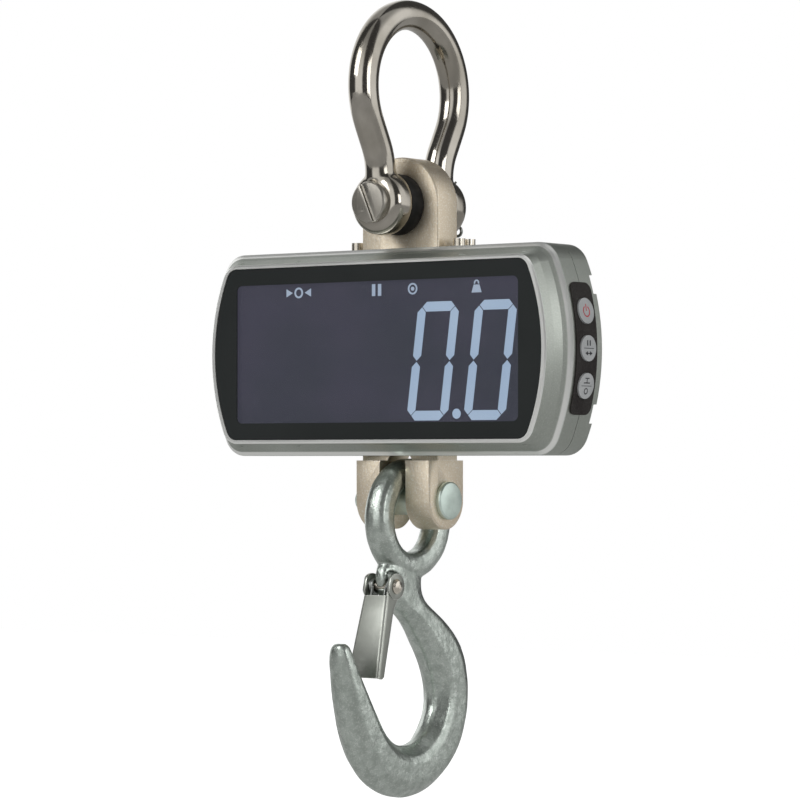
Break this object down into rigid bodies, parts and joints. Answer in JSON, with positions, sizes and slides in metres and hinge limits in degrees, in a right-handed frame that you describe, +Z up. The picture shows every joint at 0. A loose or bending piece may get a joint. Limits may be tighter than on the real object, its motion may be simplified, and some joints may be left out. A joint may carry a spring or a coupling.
{
  "type": "crane scale",
  "caption": "Hanging crane scale: bow shackle, load cell through a barrel-sided display housing with side keys, clevis pin and eye hook with spring latch.",
  "frame": {"origin": "inside top of the shackle bow, the point that rests on the crane's hook", "axes": "+Z up along the load line, +X to the right along the display, +Y to the back; the display faces -Y"},
  "size_m": [0.2318, 0.1084, 0.4086],
  "materials": {
    "stainless": "polished, slightly warm",
    "nickel_steel": "bead-blasted nickel plate",
    "bright_screw": "bright nickel",
    "zinc": "zinc-plated forging",
    "zinc_sheet": "smooth zinc-plated sheet",
    "spring_steel": "satin",
    "rubber_black": "matt",
    "silver_paint": "silver metallic paint",
    "panel_black": "satin print",
    "lens_clear": "clear, slightly smoked",
    "lcd_dark": "dark display glass",
    "lcd_lit": "lit segment",
    "keypad_dark": "textured film",
    "key_grey": "silver-grey print",
    "board_green": "solder mask",
    "chip_black": "moulded",
    "inner_white": "moulded",
    "inner_black": "moulded",
    "cell_wrap": "shrink sleeve",
    "contact_metal": "nickel",
    "wire_sleeve": "vinyl",
    "gauge_foil": "polyimide"
  },
  "bodies": {
    "shackle": {"shackle_bow": "stainless", "shackle_pin": "stainless", "cotter_pin": "spring_steel", "spacer_washer_front": "rubber_black", "spacer_washer_rear": "rubber_black"},
    "scale": {"load_cell": "nickel_steel", "strain_gauges": "gauge_foil", "clevis_pin": "zinc", "clevis_washer": "bright_screw", "clevis_circlip": "spring_steel", "front_shell": "silver_paint", "rear_shell": "silver_paint", "shell_gasket": "rubber_black", "top_cap_screws": "bright_screw", "top_clamp": "zinc_sheet", "bottom_clamp": "zinc_sheet", "top_seal": "rubber_black", "bottom_seal": "rubber_black", "housing_screws": "bright_screw", "panel_overlay": "panel_black", "display_lens": "lens_clear", "lcd_glass": "lcd_dark", "lcd_backlight": "inner_white", "lcd_digits": "lcd_lit", "keypad_strip": "keypad_dark", "switch_board": "board_green", "tact_switches": "chip_black", "main_board": "board_green", "board_components": "chip_black", "board_screws": "bright_screw", "battery_tray": "inner_black", "battery_cells": "cell_wrap", "battery_contacts": "contact_metal", "buzzer": "chip_black", "receiver_board": "board_green", "antenna_coil": "contact_metal", "load_cell_cable": "wire_sleeve", "battery_leads": "wire_sleeve"},
    "power_key": {"power_button": "key_grey"},
    "hold_key": {"hold_button": "key_grey"},
    "tare_key": {"tare_button": "key_grey"},
    "battery_cover": {"battery_door": "silver_paint"},
    "hook": {"hook": "zinc", "latch_rivet": "bright_screw"},
    "latch": {"latch": "zinc_sheet", "latch_spring": "spring_steel"}
  },
  "joints": [
    {"name": "shackle_pivot", "type": "hinge", "parent": "shackle", "child": "scale", "pos_m": [0, 0, -0.0903], "axis": [0, 1, 0], "range_deg": [-90, 90]},
    {"name": "hook_swing", "type": "hinge", "parent": "scale", "child": "hook", "pos_m": [0, 0, -0.2415], "axis": [1, 0, 0], "range_deg": [-20, 20]},
    {"name": "latch_pivot", "type": "hinge", "parent": "hook", "child": "latch", "pos_m": [0, -0.0222, -0.2849], "axis": [1, 0, 0], "range_deg": [0, 40], "stiffness_Nm_per_rad": 0.06, "springref_deg": -28.65},
    {"name": "power_press", "type": "slide", "parent": "scale", "child": "power_key", "axis": [-0.9873, 0, -0.1587], "range_m": [0, 0.0005], "stiffness_N_per_m": 1500, "springref_m": -0.0002},
    {"name": "hold_press", "type": "slide", "parent": "scale", "child": "hold_key", "axis": [-1, 0, 0], "range_m": [0, 0.0005], "stiffness_N_per_m": 1500, "springref_m": -0.0002},
    {"name": "tare_press", "type": "slide", "parent": "scale", "child": "tare_key", "axis": [-0.9873, 0, 0.1587], "range_m": [0, 0.0005], "stiffness_N_per_m": 1500, "springref_m": -0.0002},
    {"name": "battery_door_lift", "type": "slide", "parent": "scale", "child": "battery_cover", "axis": [0, 1, 0], "range_m": [0, 0.02]}
  ]
}
